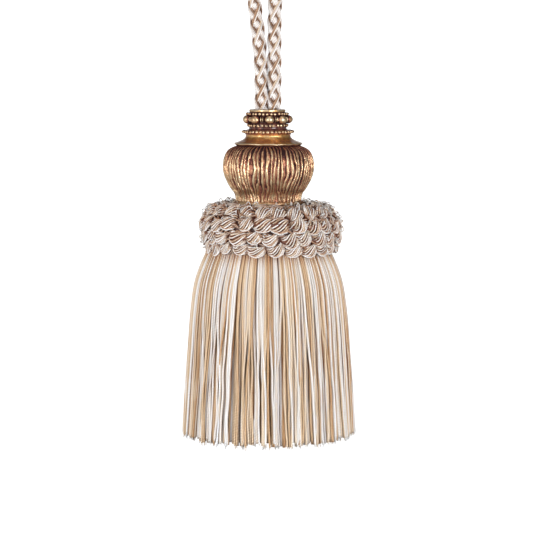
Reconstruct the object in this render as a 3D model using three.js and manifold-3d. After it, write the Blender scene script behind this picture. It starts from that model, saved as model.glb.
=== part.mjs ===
// A key tassel hanging from its cord loop: a turned and carved gilt head, a ruff of looped yarn
// and a skirt of cut fringe. Millimetres, +Z up. The origin is the inside top of the loop, the
// point that rests on the hook, and the tassel's axis is the Z axis.

import * as THREE from 'three';
import { mergeVertices } from 'three/addons/utils/BufferGeometryUtils.js';
import Module from 'manifold-3d';

const wasm = await Module();
wasm.setup();

// Driving dimensions.
const GAP = 0.3;             // clearance between pieces that touch
const HEAD_TOP = -72;        // top of the collar, below the inside top of the loop
const DROP = 120;            // top of the collar to the cut ends of the skirt
const CORD_DIAMETER = 4.4;
const BORE_RADIUS = 5.15;    // takes both legs of the loop side by side
const SPINDLE_RADIUS = 9;    // the turned stem that the yarn work is wound on
const SPINDLE_DEPTH = 55.5;  // its lower end, below the top of the collar
const FLUTES = 60;
const BEADS = 9;
const RUFF_LUMPS = 26;
const RUFF_SHIFT = 0.7;      // the ruff sits a little to one side, as wound yarn does
const STRANDS = 64;          // teeth of the comb, each a lock of fringe

const MERGE = 1e-4;

// A repeatable uneven number from -1 to 1 for the item with this number.
function uneven(item, kind) {
  const wave = Math.sin(item * 12.9898 + kind * 78.233) * 43758.5453;
  return 2 * (wave - Math.floor(wave)) - 1;
}

function smoothstep(low, high, value) {
  const t = THREE.MathUtils.clamp((value - low) / (high - low), 0, 1);
  return t * t * (3 - 2 * t);
}

// Merges shared corners and drops the triangles that vanish with them.
function closed(geometry) {
  const bare = new THREE.BufferGeometry();
  bare.setAttribute('position', geometry.getAttribute('position').clone());
  if (geometry.index) bare.setIndex(geometry.index.clone());
  const merged = mergeVertices(bare, MERGE);
  const source = merged.index.array;
  const kept = [];
  for (let i = 0; i < source.length; i += 3) {
    const [a, b, c] = [source[i], source[i + 1], source[i + 2]];
    if (a !== b && b !== c && c !== a) kept.push(a, b, c);
  }
  merged.setIndex(kept);
  return merged;
}

function solid(geometry) {
  const shape = closed(geometry);
  return new wasm.Manifold(new wasm.Mesh({
    numProp: 3,
    vertProperties: new Float32Array(shape.getAttribute('position').array),
    triVerts: new Uint32Array(shape.index.array),
  }));
}

function joined(geometries) {
  const mesh = geometries.map(solid).reduce((whole, next) => whole.add(next)).getMesh();
  const geometry = new THREE.BufferGeometry();
  geometry.setAttribute('position', new THREE.BufferAttribute(mesh.vertProperties, mesh.numProp));
  geometry.setIndex(new THREE.BufferAttribute(mesh.triVerts, 1));
  return geometry;
}

// A body of revolution about Z from [radius, height] rows, in order up the outside. `shift`
// may add to the radius of a point: it gets the row's number and the angle about Z.
function revolved(rows, segments, shift = () => 0) {
  const positions = [];
  const faces = [];
  const rings = rows.length;
  for (let s = 0; s < segments; s += 1) {
    const angle = (s / segments) * 2 * Math.PI;
    rows.forEach(([radius, height], row) => {
      const r = radius === 0 ? 0 : radius + shift(row, angle, s);
      positions.push(r * Math.cos(angle), r * Math.sin(angle), height);
    });
  }
  const onAxis = rows[0][0] === 0 && rows[rings - 1][0] === 0;
  const bands = onAxis ? rings - 1 : rings;
  for (let s = 0; s < segments; s += 1) {
    const here = s * rings;
    const there = ((s + 1) % segments) * rings;
    for (let row = 0; row < bands; row += 1) {
      const next = (row + 1) % rings;
      faces.push(here + row, there + row, there + next);
      faces.push(here + row, there + next, here + next);
    }
  }
  const geometry = new THREE.BufferGeometry();
  geometry.setAttribute('position', new THREE.Float32BufferAttribute(positions, 3));
  geometry.setIndex(faces);
  return closed(geometry);
}

function piece(name, geometry, color, roughness, metalness) {
  const material = new THREE.MeshStandardMaterial({ color, roughness, metalness });
  const mesh = new THREE.Mesh(geometry, material);
  mesh.name = name;
  return mesh;
}

// ---- The cord loop -------------------------------------------------------------------------

// The route [x, z] of the cord's centre line, up the left leg, over the hook and down the right.
const CORD_ROUTE = [
  [-2.55, -80.5], [-2.60, -76], [-2.60, -71], [-2.60, -65], [-2.70, -59], [-3.05, -52.5],
  [-3.65, -46], [-4.40, -39.5], [-5.25, -33], [-6.45, -27], [-7.85, -21], [-9.00, -14.5],
  [-9.30, -7.5], [-8.05, -2.45], [-4.65, 0.95], [0.00, 2.20], [4.65, 0.95], [8.05, -2.45],
  [9.30, -7.5], [8.70, -14], [6.50, -20], [4.00, -26], [2.55, -32.5], [2.25, -39.5],
  [2.20, -46], [2.20, -52.5], [2.20, -59], [2.15, -65], [2.15, -71], [2.15, -76],
  [2.15, -80.5],
];
const CORD_SIDES = 10;
const CORD_STEPS = 36;

function cordLoop() {
  const route = new THREE.CatmullRomCurve3(
    CORD_ROUTE.map(([x, z]) => new THREE.Vector3(x, 0, z)),
  );
  const section = new THREE.Shape();
  for (let side = 0; side < CORD_SIDES; side += 1) {
    const angle = (side / CORD_SIDES) * 2 * Math.PI;
    const x = (CORD_DIAMETER / 2) * Math.cos(angle);
    const y = (CORD_DIAMETER / 2) * Math.sin(angle);
    if (side === 0) section.moveTo(x, y);
    else section.lineTo(x, y);
  }
  section.closePath();
  return new THREE.ExtrudeGeometry(section, {
    extrudePath: route,
    steps: CORD_STEPS,
    bevelEnabled: false,
  });
}

// ---- The collar of the head ----------------------------------------------------------------

// Heights are below the top of the collar.
const COLLAR_ROWS = [
  { radius: 6.4, height: 0 },       // disc
  { radius: 6.4, height: -1.0 },
  { radius: 7.6, height: -1.3 },    // fine beaded row
  { radius: 7.6, height: -2.0 },
  { radius: 6.7, height: -2.4 },    // core behind the large beads
  { radius: 6.7, height: -5.0 },
  { radius: 7.35, height: -5.3 },   // two fine beaded rows
  { radius: 7.35, height: -6.8 },
  { radius: 6.9, height: -7.2 },
  { radius: 8.9, height: -7.6 },    // beaded flange
  { radius: 9.35, height: -8.2 },
  { radius: 8.9, height: -8.9 },
  { radius: 7.9, height: -9.3 },    // hollow neck
  { radius: 7.85, height: -10.3 },
  { radius: 8.45, height: -11.4 },
  { radius: 10.9, height: -12.3 },
  { radius: 11.9, height: -12.6 },  // plain flange
  { radius: 11.9, height: -13.3 },
  { radius: 11.4, height: -13.6 },
];
const COLLAR_BASE = COLLAR_ROWS[COLLAR_ROWS.length - 1].height;
const COLLAR_SEGMENTS = 36;
const BEAD = { height: -3.7, ring: 7.3, reach: 1.7, halfWidth: 2.1, halfHeight: 1.35 };
const FIRST_BEAD = -87;      // degrees about Z; the front is at -90

function largeBead(number) {
  const bead = new THREE.SphereGeometry(1, 10, 6);
  bead.rotateX(Math.PI / 2);
  bead.scale(BEAD.reach, BEAD.halfWidth, BEAD.halfHeight);
  bead.translate(BEAD.ring, 0, BEAD.height);
  bead.rotateZ(THREE.MathUtils.degToRad(FIRST_BEAD + (360 * number) / BEADS));
  return bead;
}

function headCollar() {
  const outside = COLLAR_ROWS.map(({ radius, height }) => [radius, height]).reverse();
  const rows = [[BORE_RADIUS, COLLAR_BASE], ...outside, [BORE_RADIUS, 0]];
  const turned = revolved(rows, COLLAR_SEGMENTS);
  const beads = Array.from({ length: BEADS }, (_, number) => largeBead(number));
  const collar = joined([turned, ...beads]);
  collar.translate(0, 0, HEAD_TOP);
  return collar;
}

// ---- The carved bulb of the head -----------------------------------------------------------

const BULB_TOP = COLLAR_BASE - GAP;
const BULB_FOOT = -34.4;
const BULB_STATIONS = [
  { radius: 12.2, height: BULB_TOP },
  { radius: 15.3, height: -15.3 },
  { radius: 16.7, height: -19.4 },
  { radius: 16.1, height: -24.0 },
  { radius: 13.9, height: -28.5 },
  { radius: 12.2, height: -32.0 },
  { radius: 11.9, height: -33.5 },
];
const BULB_ROWS = 9;
const FLUTE_DEPTH = 0.6;
const FOOT_RIM = 0.35;

function headBulb() {
  const outline = new THREE.SplineCurve(
    BULB_STATIONS.map(({ radius, height }) => new THREE.Vector2(radius, height)),
  );
  const carved = outline.getSpacedPoints(BULB_ROWS).map(({ x, y }) => [x, y]).reverse();
  const foot = BULB_STATIONS[BULB_STATIONS.length - 1];
  const rows = [
    [0, -SPINDLE_DEPTH],
    [SPINDLE_RADIUS, -SPINDLE_DEPTH],
    [SPINDLE_RADIUS, BULB_FOOT],
    [foot.radius, BULB_FOOT],
    [foot.radius + FOOT_RIM, (BULB_FOOT + foot.height) / 2],
    ...carved,
    [0, BULB_TOP],
  ];
  const firstCarved = rows.length - carved.length - 1;
  const segments = 2 * FLUTES;
  const flute = (row, angle, segment) => {
    const height = rows[row][1];
    if (row <= firstCarved || height >= BULB_TOP || segment % 2 === 0) return 0;
    return -FLUTE_DEPTH * (1 + 0.2 * uneven(segment, 0) + 0.1 * uneven(segment, row));
  };
  const bulb = revolved(rows, segments, flute);
  bulb.translate(0, 0, HEAD_TOP);
  return bulb;
}

// ---- The ruff ------------------------------------------------------------------------------

const RUFF_BORE = SPINDLE_RADIUS + GAP;
const RUFF_TOP = BULB_FOOT - GAP;
const RUFF_BASE = -49.6;     // its underside, where the heading of the skirt butts
const RUFF_LIP = -52.2;      // its lowest bights hang over the heading
const LIP_INSIDE = 22.7;
// The outside, from the foot of the bulb out and down to the lip.
const RUFF_STATIONS = [
  { radius: 12.6, height: RUFF_TOP },
  { radius: 16.8, height: -34.5 },
  { radius: 20.9, height: -35.6 },
  { radius: 24.1, height: -38.2 },
  { radius: 25.6, height: -42.4 },
  { radius: 25.4, height: -47.0 },
  { radius: 24.3, height: RUFF_LIP },
];
const RUFF_ROWS = 10;        // two rings of corners to each row of bights
const RUFF_SEGMENTS = 4 * RUFF_LUMPS;
const LUMP_HEIGHT = 0.7;     // a bight stands out by this much, and the clefts go in as far
const CLEFT_DEPTH = 0.35;    // between one row of bights and the next

function ruff() {
  const outline = new THREE.SplineCurve(
    RUFF_STATIONS.map(({ radius, height }) => new THREE.Vector2(radius, height)),
  );
  const outside = outline.getSpacedPoints(RUFF_ROWS).map(({ x, y }) => [x, y]).reverse();
  const rows = [
    [RUFF_BORE, RUFF_BASE],
    [LIP_INSIDE, RUFF_BASE],
    [LIP_INSIDE, RUFF_LIP],
    ...outside,
    [RUFF_BORE, RUFF_TOP],
  ];
  const firstOutside = rows.length - outside.length - 1;
  const lump = (row, angle) => {
    const place = row - firstOutside;
    if (place < 0 || place >= RUFF_ROWS) return 0;
    const band = Math.floor(place / 2);
    const phase = RUFF_LUMPS * angle + (band % 2) * Math.PI;
    if (place % 2 === 0) return -CLEFT_DEPTH;
    const size = 1 + 0.3 * uneven(Math.round(phase / Math.PI), band);
    return LUMP_HEIGHT * size * Math.cos(phase);
  };
  const ring = revolved(rows, RUFF_SEGMENTS, lump);
  ring.translate(0, 0, HEAD_TOP);
  return ring;
}

// The ruff moves to one side by less than its clearance round the spindle allows, so only its
// outside is shifted: the shift grows from the bore to the lip.
function shiftOutside(geometry) {
  const position = geometry.getAttribute('position');
  for (let i = 0; i < position.count; i += 1) {
    const radius = Math.hypot(position.getX(i), position.getY(i));
    const share = smoothstep(LIP_INSIDE, RUFF_STATIONS[4].radius, radius);
    position.setX(i, position.getX(i) + RUFF_SHIFT * share);
  }
  return geometry;
}

// ---- The skirt -----------------------------------------------------------------------------

const HEADING_TOP = RUFF_BASE - GAP;
const HEADING_BASE = -54;
const HEADING_RADIUS = LIP_INSIDE - GAP;
const SKIRT_DEPTH = 3.4;     // the strands' layers together, through the wall
// The outside of the hanging fringe, from behind the lip of the ruff to the cut ends.
const SKIRT_STATIONS = [
  { radius: HEADING_RADIUS - 0.4, height: -50.4 },
  { radius: HEADING_RADIUS - 0.1, height: -52.6 },
  { radius: 24.0, height: -54.8 },
  { radius: 26.5, height: -60 },
  { radius: 28.2, height: -68.5 },
  { radius: 29.8, height: -86 },
  { radius: 32.4, height: -DROP },
];
const STRAND_FILL = 0.84;    // share of the pitch that a lock covers
const END_UNEVEN = 1.1;      // the cut ends differ by this much each way
const DRIFT = 0.06;          // sideways lean of a lock, as a share of the pitch
const FREE_HEIGHT = -80;     // a lock's own lean and stand are full from here down

// One lock of fringe: a four-cornered strip that follows the outline down to its own cut end.
function lock(number) {
  const pitch = (2 * Math.PI) / STRANDS;
  const middle = number * pitch;
  const half = (pitch * STRAND_FILL) / 2;
  const stand = 0.35 * uneven(number, 1);
  const shorter = END_UNEVEN * (1 + uneven(number, 2));
  const positions = [];
  SKIRT_STATIONS.forEach(({ radius, height }) => {
    const free = smoothstep(HEADING_BASE, FREE_HEIGHT, height);
    const cut = height === -DROP ? shorter : 0;
    const angle = middle + DRIFT * pitch * free * uneven(number, 3);
    const outer = radius + stand * free;
    const inner = outer - SKIRT_DEPTH;
    const corners = [[inner, -half], [outer, -half], [outer, half], [inner, half]];
    corners.forEach(([r, turn]) => {
      positions.push(r * Math.cos(angle + turn), r * Math.sin(angle + turn), height + cut);
    });
  });
  const faces = [0, 1, 2, 0, 2, 3];
  const parts = SKIRT_STATIONS.length - 1;
  for (let part = 0; part < parts; part += 1) {
    for (let corner = 0; corner < 4; corner += 1) {
      const a = part * 4 + corner;
      const b = part * 4 + ((corner + 1) % 4);
      faces.push(a, a + 4, b + 4, a, b + 4, b);
    }
  }
  const end = parts * 4;
  faces.push(end, end + 2, end + 1, end, end + 3, end + 2);
  const geometry = new THREE.BufferGeometry();
  geometry.setAttribute('position', new THREE.Float32BufferAttribute(positions, 3));
  geometry.setIndex(faces);
  return geometry;
}

function skirt() {
  const heading = revolved([
    [RUFF_BORE, HEADING_BASE],
    [HEADING_RADIUS - 1, HEADING_BASE],
    [HEADING_RADIUS - 0.2, -52],
    [HEADING_RADIUS - 0.2, HEADING_TOP],
    [RUFF_BORE, HEADING_TOP],
  ], STRANDS);
  const locks = Array.from({ length: STRANDS }, (_, number) => lock(number));
  const comb = joined([heading, ...locks]);
  comb.translate(0, 0, HEAD_TOP);
  return comb;
}

// ---- The tassel ----------------------------------------------------------------------------

const tassel = new THREE.Group();
tassel.add(piece('cord_loop', cordLoop(), 0xe4d6c4, 0.7, 0));
tassel.add(piece('head_collar', headCollar(), 0xb98a3e, 0.35, 0.9));
tassel.add(piece('head_bulb', headBulb(), 0xa87a3c, 0.4, 0.85));
tassel.add(piece('ruff', shiftOutside(ruff()), 0xdccab4, 0.75, 0));
tassel.add(piece('skirt', skirt(), 0xe3d2bb, 0.7, 0));

export default tassel;
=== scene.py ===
"""The looks of the key tassel: braided cord loop, gilt head, looped ruff and cut skirt.

Lengths are in millimetres until a mesh is written, and heights marked "below" are counted
from the top of the head's collar, as in part.mjs. Angles about Z are in radians.
"""

import math
from collections import namedtuple

import bpy
import numpy as np
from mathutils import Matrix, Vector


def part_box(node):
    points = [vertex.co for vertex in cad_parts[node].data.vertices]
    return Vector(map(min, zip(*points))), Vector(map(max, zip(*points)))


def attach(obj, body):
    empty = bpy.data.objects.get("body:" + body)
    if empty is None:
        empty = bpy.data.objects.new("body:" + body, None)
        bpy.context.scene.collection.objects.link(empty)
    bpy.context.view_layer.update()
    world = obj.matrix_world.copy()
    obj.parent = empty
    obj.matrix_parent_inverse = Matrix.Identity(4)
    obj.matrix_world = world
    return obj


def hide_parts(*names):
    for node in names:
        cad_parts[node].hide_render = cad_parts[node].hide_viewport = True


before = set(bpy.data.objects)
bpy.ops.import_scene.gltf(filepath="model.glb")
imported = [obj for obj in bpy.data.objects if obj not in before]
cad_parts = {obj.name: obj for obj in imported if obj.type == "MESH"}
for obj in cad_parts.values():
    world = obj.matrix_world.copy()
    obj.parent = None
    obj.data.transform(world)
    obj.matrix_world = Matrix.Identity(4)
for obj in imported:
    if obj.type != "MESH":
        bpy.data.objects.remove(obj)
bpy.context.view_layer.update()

MM = 0.001
TURN = 2 * math.pi
HEAD_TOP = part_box("head_collar")[1].z / MM
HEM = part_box("skirt")[0].z / MM - HEAD_TOP  # below the top of the collar


# ---- Lines, noise and tubes ----


def spline(points, steps=16):
    """A centripetal Catmull-Rom line, as in part.mjs, with this many steps to a span."""
    points = np.asarray(points, float)
    before = 2 * points[0] - points[1]
    after = 2 * points[-1] - points[-2]
    held = np.vstack([before, points, after])
    t = np.linspace(0, 1, steps, endpoint=False)[:, None]
    spans = []
    for a, b, c, d in zip(held, held[1:], held[2:], held[3:]):
        ab = np.linalg.norm(b - a) ** 0.5
        bc = np.linalg.norm(c - b) ** 0.5
        cd = np.linalg.norm(d - c) ** 0.5
        leave = ((b - a) / ab - (c - a) / (ab + bc) + (c - b) / bc) * bc
        reach = ((c - b) / bc - (d - b) / (bc + cd) + (d - c) / cd) * bc
        square = 3 * (c - b) - 2 * leave - reach
        cube = 2 * (b - c) + leave + reach
        spans.append(b + leave * t + square * t**2 + cube * t**3)
    return np.vstack([*spans, points[-1:]])


def evenly(line, count):
    """The line at this many evenly spaced places, and its length."""
    steps = np.linalg.norm(np.diff(line, axis=0), axis=1)
    along = np.concatenate([[0], np.cumsum(steps)])
    places = np.linspace(0, along[-1], count)
    columns = [np.interp(places, along, column) for column in line.T]
    return np.stack(columns, 1), along[-1]


def smoothstep(low, high, value):
    t = np.clip((value - low) / (high - low), 0, 1)
    return t * t * (3 - 2 * t)


def noise(u, v, cells_u, cells_v, seed):
    """Smooth noise from -1 to 1 over a grid of random values. u and v go from 0 to 1, and u wraps."""
    grid = np.random.default_rng(seed).uniform(-1, 1, (cells_u, cells_v + 2))
    x = np.mod(u, 1) * cells_u
    y = np.clip(v, 0, 1) * cells_v
    i = np.minimum(np.floor(x).astype(int), cells_u - 1)
    j = np.floor(y).astype(int)
    fx = smoothstep(0, 1, x - i)
    fy = smoothstep(0, 1, y - j)
    right = (i + 1) % cells_u
    low = grid[i, j] * (1 - fx) + grid[right, j] * fx
    high = grid[i, j + 1] * (1 - fx) + grid[right, j + 1] * fx
    return low * (1 - fy) + high * fy


def unit(vectors):
    return vectors / np.maximum(np.linalg.norm(vectors, axis=-1, keepdims=True), 1e-9)


def dot(a, b):
    return (a * b).sum(-1, keepdims=True)


def about_z(radius, angle, height):
    """Points this far from the axis, at this angle about it and at this height."""
    return np.stack([radius * np.cos(angle), radius * np.sin(angle), height + 0 * angle], -1)


def put_in_scene(name, data):
    made = bpy.data.objects.new(name, data)
    bpy.context.scene.collection.objects.link(made)
    return made


class Shape:
    """Corners and faces of one piece, gathered part by part. `tone` picks the colour of a
    yarn, and the painted shade is 0 on what stands out and 1 at the bottom of a gap or groove,
    where the materials darken the colour as shade."""

    def __init__(self):
        self.corners = []
        self.tone = []
        self.depth = []
        self.faces = []
        self.count = 0

    def add(self, corners, faces, tone=0.0, depth=0.0):
        """faces holds pairs: corner numbers (faces, corners) and their texture places."""
        corners = corners.reshape(-1, 3)
        self.faces += [(numbers + self.count, places) for numbers, places in faces]
        self.corners.append(corners)
        self.tone.append(np.broadcast_to(tone, len(corners)))
        self.depth.append(np.broadcast_to(depth, len(corners)))
        self.count += len(corners)

    def piece(self, name, material, slot, *nodes):
        """Writes the mesh, and seats it in the frame in place of these CAD nodes."""
        mesh = bpy.data.meshes.new(name)
        corners = np.vstack(self.corners) * MM
        sizes = np.concatenate([np.full(len(n), n.shape[1]) for n, _ in self.faces])
        loops = np.concatenate([n.ravel() for n, _ in self.faces])
        places = np.concatenate([p.reshape(-1, 2) for _, p in self.faces])
        mesh.vertices.add(len(corners))
        mesh.vertices.foreach_set("co", corners.astype(np.float32).ravel())
        mesh.loops.add(len(loops))
        mesh.loops.foreach_set("vertex_index", loops.astype(np.int32))
        mesh.polygons.add(len(sizes))
        starts = np.concatenate([[0], np.cumsum(sizes)[:-1]])
        mesh.polygons.foreach_set("loop_start", starts.astype(np.int32))
        mesh.polygons.foreach_set("use_smooth", np.ones(len(sizes), bool))
        mesh.update(calc_edges=True)
        layer = mesh.uv_layers.new(name="lay")
        layer.data.foreach_set("uv", places.astype(np.float32).ravel())
        for label, values in (("tone", self.tone), ("depth", self.depth)):
            attribute = mesh.attributes.new(label, "FLOAT", "POINT")
            attribute.data.foreach_set("value", np.concatenate(values).astype(np.float32))
        mesh.materials.append(material)
        made = put_in_scene(name, mesh)
        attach(made, "root")
        if nodes:
            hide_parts(*nodes)
        return made


PLY_SHIFT = 0.38  # of a turn, from the plies of one yarn to those of the next


def ring_section(sides):
    """Section of a yarn as [across, up] pairs, with its first corner at the top."""
    angle = np.arange(sides) * TURN / sides + TURN / 4
    return np.stack([np.cos(angle), np.sin(angle)], 1)


def tubes(shape, paths, radii, section, tone, depth=0.0, turns=0.0, outward=None, painted_edge_shade=0.0, taper=0.55):
    """Adds a tube round each path. paths and outward are (count, steps, 3), and outward is the
    side of the yarn that shows. radii, tone, painted shade and painted edge shade are numbers or
    (count, 1) or (count, steps), and the edge shade is how much painted shade the yarn's flanks
    get, away from the side that shows. In the texture places its plies turn `turns` times a
    millimetre."""
    count, steps, _ = paths.shape
    sides = len(section)
    radii = np.broadcast_to(radii, (count, steps)).copy()
    radii[:, [0, -1]] *= taper
    lengths = np.linalg.norm(np.diff(paths, axis=1), axis=2)
    along = np.concatenate([np.zeros((count, 1)), np.cumsum(lengths, 1)], 1)
    run = unit(np.gradient(paths, axis=1))
    if outward is None:
        outward = np.where(np.abs(run[..., 2:]) > 0.9, [1.0, 0, 0], [0, 0, 1.0])
    up = unit(outward - dot(outward, run) * run)
    side = np.cross(up, run)
    across = section[:, 0][:, None] * side[:, :, None]
    rise = section[:, 1][:, None] * up[:, :, None]
    corners = paths[:, :, None] + radii[:, :, None, None] * (across + rise)

    number = np.arange(count * steps * sides).reshape(count, steps, sides)
    near, far = number[:, :-1], number[:, 1:]
    quads = np.stack([near, np.roll(near, -1, 2), np.roll(far, -1, 2), far], -1)
    spin = turns * along + np.arange(count)[:, None] * PLY_SHIFT
    u = np.arange(sides + 1) / sides - spin[..., None]
    places = np.empty((count, steps - 1, sides, 4, 2))
    places[..., 0, 0] = u[:, :-1, :-1]
    places[..., 1, 0] = u[:, :-1, 1:]
    places[..., 2, 0] = u[:, 1:, 1:]
    places[..., 3, 0] = u[:, 1:, :-1]
    places[..., [0, 1], 1] = along[:, :-1, None, None]
    places[..., [2, 3], 1] = along[:, 1:, None, None]
    caps = np.concatenate([number[:, 0, ::-1], number[:, -1]])
    cap_places = np.zeros((2 * count, sides, 2))
    cap_places[..., 1] = np.concatenate([along[:, 0], along[:, -1]])[:, None]
    faces = [
        (quads.reshape(-1, 4), places.reshape(-1, 4, 2)),
        (caps, cap_places),
    ]
    spread = (count, steps, sides)
    # Painted shade on each yarn's flanks, more the further they turn from the side that shows.
    painted_flank_mask = np.clip(1 - section[:, 1], 0, 1) ** 1.5
    tone = np.broadcast_to(np.broadcast_to(tone, (count, steps))[..., None], spread)
    depth = np.broadcast_to(depth, (count, steps))[..., None]
    depth = depth + np.broadcast_to(painted_edge_shade, (count, steps))[..., None] * painted_flank_mask
    shape.add(corners, faces, tone.ravel(), np.clip(depth, 0, 1).ravel())


def turned(shape, radius, height, depth=0.0, tone=0.0):
    """Adds a body turned about Z. radius and height are (rows, segments), down the outside
    and back up the inside."""
    rows, segments = radius.shape
    corners = about_z(radius, np.arange(segments) * TURN / segments, height)
    number = np.arange(rows * segments).reshape(rows, segments)
    below = np.roll(number, -1, 0)
    quads = np.stack([number, below, np.roll(below, -1, 1), np.roll(number, -1, 1)], -1)
    climb = np.hypot(np.diff(radius.mean(1)), np.diff(height.mean(1)))
    v = np.concatenate([[0], np.cumsum(climb)])
    v = np.append(v, v[-1] + 1)
    u = np.arange(segments + 1) / segments
    places = np.empty((*quads.shape, 2))
    places[..., [0, 1], 0] = u[:-1, None]
    places[..., [2, 3], 0] = u[1:, None]
    places[..., [0, 3], 1] = v[:-1, None, None]
    places[..., [1, 2], 1] = v[1:, None, None]
    depth = np.broadcast_to(depth, radius.shape).ravel()
    faces = [(quads.reshape(-1, 4), places.reshape(-1, 4, 2))]
    shape.add(corners, faces, tone, depth)


# ---- Camera ----

CAMERA_PLACE = (-0.73, -980.0, HEAD_TOP + 28.0)
CAMERA_TILT = math.radians(5.02)  # it looks down by this much
CAMERA_FIELD = math.radians(11.44)
SENSOR = 36


def make_camera():
    data = bpy.data.cameras.new("camera")
    data.sensor_width = SENSOR
    data.lens = SENSOR / 2 / math.tan(CAMERA_FIELD / 2)
    camera = put_in_scene("camera", data)
    camera.location = [c * MM for c in CAMERA_PLACE]
    camera.rotation_euler = (math.radians(90) - CAMERA_TILT, 0, 0)
    bpy.context.scene.camera = camera


make_camera()


# ---- Materials ----


def linear(red, green, blue):
    """A colour given as on a screen, from 0 to 255, in Blender's linear numbers."""
    parts = np.array([red, green, blue]) / 255
    low, high = parts / 12.92, ((parts + 0.055) / 1.055) ** 2.4
    return (*np.where(parts <= 0.04045, low, high).tolist(), 1.0)


class Nodes:
    """Short ways to write the nodes of one material, or of the world."""

    def __init__(self, owner):
        self.owner = owner
        self.owner.use_nodes = True
        self.tree = owner.node_tree

    def node(self, kind, inputs=(), **settings):
        made = self.tree.nodes.new(kind)
        for key, value in settings.items():
            setattr(made, key, value)
        for key, value in dict(inputs).items():
            self.put(made.inputs[key], value)
        return made

    def put(self, socket, value):
        if isinstance(value, bpy.types.NodeSocket):
            self.tree.links.new(value, socket)
        else:
            socket.default_value = value

    def math(self, operation, first, second=0.0):
        made = self.node("ShaderNodeMath", {0: first, 1: second}, operation=operation)
        return made.outputs[0]

    def add(self, first, second):
        return self.math("ADD", first, second)

    def times(self, first, second):
        return self.math("MULTIPLY", first, second)

    def attribute(self, name):
        return self.node("ShaderNodeAttribute", attribute_name=name).outputs["Fac"]

    def ramp(self, factor, stops):
        """A colour ramp from (place, colour) rows."""
        made = self.node("ShaderNodeValToRGB", {"Fac": factor})
        points = made.color_ramp.elements
        while len(points) < len(stops):
            points.new(0.5)
        for point, (place, colour) in zip(points, stops):
            point.position = place
            point.color = colour
        return made.outputs["Color"]

    def span(self, value, low, high, to_low, to_high):
        sockets = {"Value": value, "From Min": low, "From Max": high}
        sockets |= {"To Min": to_low, "To Max": to_high}
        return self.node("ShaderNodeMapRange", sockets).outputs["Result"]

    def noise(self, vector, scale, detail=2.0, roughness=0.5):
        sockets = {"Vector": vector, "Scale": scale, "Detail": detail, "Roughness": roughness}
        return self.node("ShaderNodeTexNoise", sockets).outputs["Fac"]

    def mix(self, kind, factor, first, second):
        made = self.node("ShaderNodeMix", data_type="RGBA", blend_type=kind)
        for number, value in ((0, factor), (6, first), (7, second)):
            self.put(made.inputs[number], value)
        return made.outputs[2]

    def bump(self, height, distance):
        sockets = {"Height": height, "Distance": distance * MM, "Strength": 1.0}
        return self.node("ShaderNodeBump", sockets).outputs["Normal"]

    def finish(self, **inputs):
        shader = self.tree.nodes["Principled BSDF"]
        for key, value in inputs.items():
            self.put(shader.inputs[key.replace("_", " ")], value)
        return self.owner


BROWN = linear(120, 82, 54)
TAN = linear(188, 148, 106)
BEIGE = linear(212, 187, 156)
CREAM = linear(232, 215, 190)
SILVER = linear(204, 205, 211)
IVORY = linear(234, 232, 228)
WHITE = linear(240, 246, 254)
# The yarn colours along a piece's `tone`.
YARN_TONES = [
    (0.0, BROWN),
    (0.17, TAN),
    (0.34, BEIGE),
    (0.5, CREAM),
    (0.66, SILVER),
    (0.83, IVORY),
    (1.0, WHITE),
]
STREAK = 0.08  # how far the tone goes up and down along a yarn
# Colour of the painted shade in the crease between two plies.
PLY_CREASE_SHADE = linear(140, 104, 78)
# What the yarn's colour is multiplied by along its painted shade: it goes tan before it goes dark.
PAINTED_SHADE_TONES = [
    (0.0, linear(255, 255, 255)),
    (0.35, linear(231, 219, 207)),
    (0.7, linear(166, 108, 62)),
    (1.0, linear(92, 38, 10)),
]


def yarn_material(name, strength, ply_crease_shade, ply_height, fibre_height):
    """Spun yarn of two plies. `strength` is of its colours, and the ply crease setting is how
    much painted shade lies in the crease between its plies."""
    n = Nodes(bpy.data.materials.new(name))
    lay = n.node("ShaderNodeUVMap", uv_map="lay").outputs["UV"]
    parts = n.node("ShaderNodeSeparateXYZ", {"Vector": lay})
    around, along = parts.outputs["X"], parts.outputs["Y"]
    tone = n.attribute("tone")

    def drawn_out(*scales, detail):
        """Noise that is drawn out along the yarn, and new on each tone."""
        pairs = zip("XYZ", (around, along, tone), scales)
        sockets = {axis: n.times(value, scale) for axis, value, scale in pairs}
        return n.noise(n.node("ShaderNodeCombineXYZ", sockets).outputs[0], 1.0, detail)

    streak = drawn_out(5.0, 0.7, 57.0, detail=2.0)
    shade = n.add(tone, n.span(streak, 0.3, 0.7, -STREAK, STREAK))
    dyed = {"Color": n.ramp(shade, YARN_TONES), "Saturation": strength}
    colour = n.node("ShaderNodeHueSaturation", dyed).outputs["Color"]
    # Painted shade in the crease between the two plies.
    ply = n.math("ABSOLUTE", n.math("COSINE", n.times(around, TURN)))
    line = n.span(ply, 0.0, 0.65, ply_crease_shade, 0.0)
    colour = n.mix("MULTIPLY", line, colour, PLY_CREASE_SHADE)
    # The painted shade darkens the colour, going tan before it goes dark.
    colour = n.mix("MULTIPLY", 1.0, colour, n.ramp(n.attribute("depth"), PAINTED_SHADE_TONES))
    fibre = drawn_out(14.0, 1.3, 31.0, detail=3.0)
    fine = n.times(fibre, fibre_height / ply_height)
    return n.finish(
        Base_Color=colour,
        Roughness=0.42,
        Specular_IOR_Level=0.55,
        Sheen_Weight=0.1,
        Sheen_Roughness=0.5,
        Normal=n.bump(n.add(ply, fine), ply_height),
    )


GOLD_LIGHT = linear(232, 210, 173)
GOLD = linear(218, 181, 139)
GOLD_DULL = linear(181, 133, 102)
NECK_GOLD = linear(224, 178, 112)
NECK_DULL = linear(190, 134, 82)
BOLE = linear(150, 93, 76)
SHADOW = linear(82, 50, 46)
SHADOW_DEEP = linear(46, 28, 30)
EDGE_TINT = linear(150, 112, 92)  # where the gilding turns away from the eye
BLOTCHES = 420.0  # to a metre
GRAIN = 2600.0


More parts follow.
